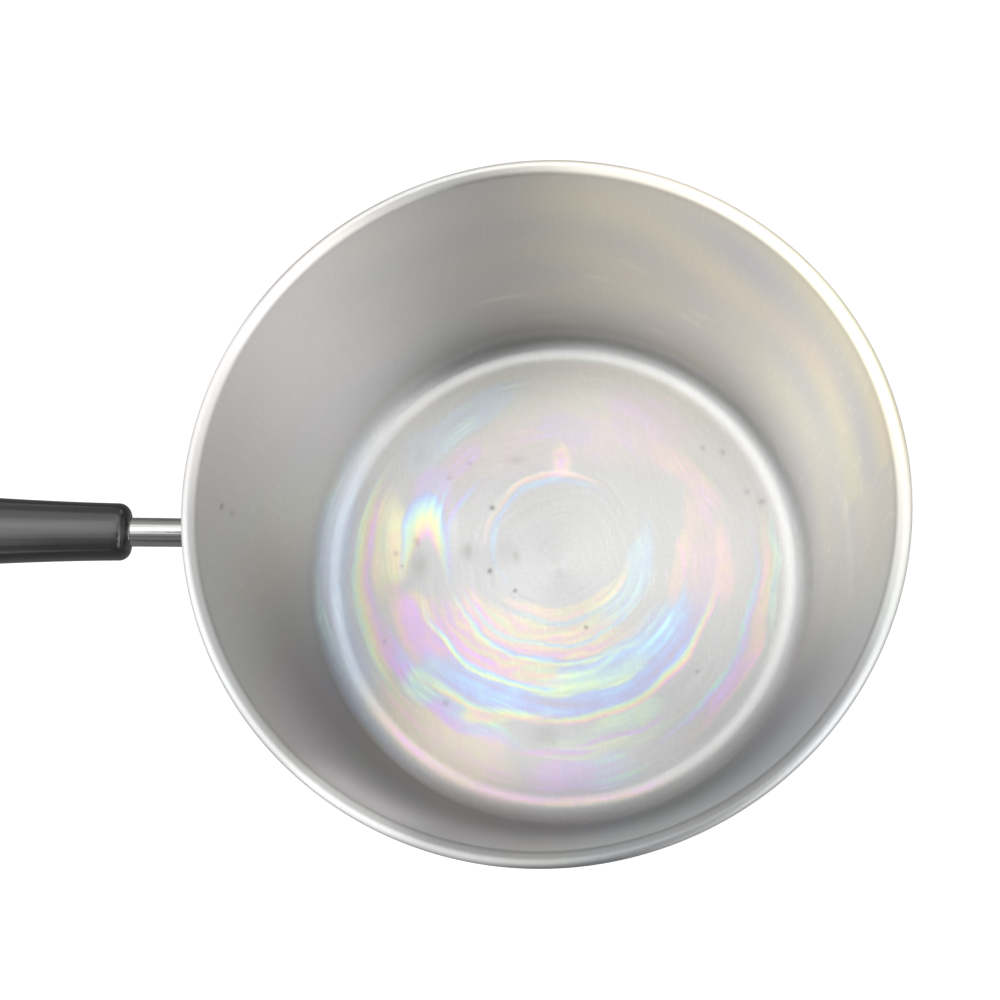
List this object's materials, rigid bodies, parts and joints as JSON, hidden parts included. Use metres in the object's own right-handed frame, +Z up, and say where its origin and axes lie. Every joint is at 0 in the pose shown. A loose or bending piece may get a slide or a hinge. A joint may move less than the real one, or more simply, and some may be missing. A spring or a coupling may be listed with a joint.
{
  "type": "saucepan",
  "caption": "Deep round saucepan with a straight drawn steel wall, rolled rim, capped heat-spreading base and a long black moulded grip on a polished neck, with a hanging ring.",
  "frame": {"origin": "centre of the base's flat underside, on the surface that the pan stands on", "axes": "+Z up along the pan's axis, -X along the handle from the pan to the grip, +Y across the handle"},
  "size_m": [0.36, 0.1878, 0.1566],
  "materials": {
    "drawn_steel": "satin drawn stainless steel",
    "core_aluminium": "plain rolled aluminium",
    "cap_steel": "ring-turned stainless steel",
    "foot_steel": "tumbled stainless steel",
    "polished_steel": "mirror-polished steel",
    "plain_steel": "zinc-plated steel",
    "spring_steel": "blued spring steel",
    "black_phenolic": "satin moulded phenolic",
    "wire_steel": "bright drawn wire"
  },
  "bodies": {
    "pan": {"pan_body": "drawn_steel", "base_core": "core_aluminium", "base_cap": "cap_steel", "handle_foot": "foot_steel", "neck_tube": "polished_steel", "neck_plug": "plain_steel", "seat_washer": "plain_steel", "grip": "black_phenolic", "tie_rod": "plain_steel", "lock_washer": "spring_steel", "hanger_eye": "polished_steel"},
    "ring": {"hang_ring": "wire_steel"}
  },
  "joints": [
    {"name": "ring_swing", "type": "hinge", "parent": "pan", "child": "ring", "pos_m": [-0.26146, 0, 0.15203], "axis": [0, 1, 0], "range_deg": [-35, 250]}
  ]
}
